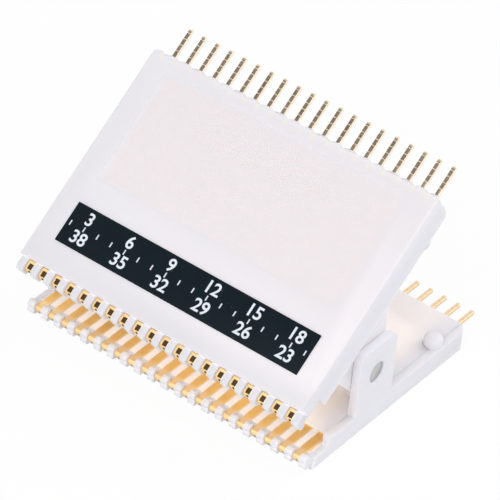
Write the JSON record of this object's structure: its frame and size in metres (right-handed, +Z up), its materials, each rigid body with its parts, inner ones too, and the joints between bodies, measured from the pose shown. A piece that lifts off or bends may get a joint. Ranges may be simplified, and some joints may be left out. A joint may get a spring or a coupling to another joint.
{
  "type": "ic test clip",
  "caption": "Spring-loaded two-jaw test clip for a dual in-line integrated circuit, with hooked gold contacts at the tips and square test posts behind the handles.",
  "frame": {"origin": "on the table under the lower jaw, straight below the middle of the hinge axis", "axes": "+X along the contact rows, +Y from the contact tips to the handles, +Z up from the table"},
  "size_m": [0.053, 0.0473, 0.0368],
  "materials": {
    "shell": "satin",
    "cover": "satin",
    "contact_gold": "polished",
    "pin_steel": "satin",
    "spring_steel": "satin",
    "label_film": "semi-gloss"
  },
  "bodies": {
    "lower": {"lower_jaw": "shell", "lower_cover": "cover", "hinge_pin": "pin_steel", "spring_left": "spring_steel", "spring_right": "spring_steel", "lower_contact_01": "contact_gold", "lower_contact_02": "contact_gold", "lower_contact_03": "contact_gold", "lower_contact_04": "contact_gold", "lower_contact_05": "contact_gold", "lower_contact_06": "contact_gold", "lower_contact_07": "contact_gold", "lower_contact_08": "contact_gold", "lower_contact_09": "contact_gold", "lower_contact_10": "contact_gold", "lower_contact_11": "contact_gold", "lower_contact_12": "contact_gold", "lower_contact_13": "contact_gold", "lower_contact_14": "contact_gold", "lower_contact_15": "contact_gold", "lower_contact_16": "contact_gold", "lower_contact_17": "contact_gold", "lower_contact_18": "contact_gold", "lower_contact_19": "contact_gold", "lower_contact_20": "contact_gold"},
    "upper": {"upper_jaw": "shell", "upper_cover": "cover", "label": "label_film", "upper_contact_01": "contact_gold", "upper_contact_02": "contact_gold", "upper_contact_03": "contact_gold", "upper_contact_04": "contact_gold", "upper_contact_05": "contact_gold", "upper_contact_06": "contact_gold", "upper_contact_07": "contact_gold", "upper_contact_08": "contact_gold", "upper_contact_09": "contact_gold", "upper_contact_10": "contact_gold", "upper_contact_11": "contact_gold", "upper_contact_12": "contact_gold", "upper_contact_13": "contact_gold", "upper_contact_14": "contact_gold", "upper_contact_15": "contact_gold", "upper_contact_16": "contact_gold", "upper_contact_17": "contact_gold", "upper_contact_18": "contact_gold", "upper_contact_19": "contact_gold", "upper_contact_20": "contact_gold"}
  },
  "joints": [
    {"name": "jaw_hinge", "type": "hinge", "parent": "lower", "child": "upper", "pos_m": [0, 0, 0.01055], "axis": [-1, 0, 0], "range_deg": [0, 68], "stiffness_Nm_per_rad": 0.1, "springref_deg": -85.94, "deforming": ["spring_left", "spring_right"]}
  ]
}
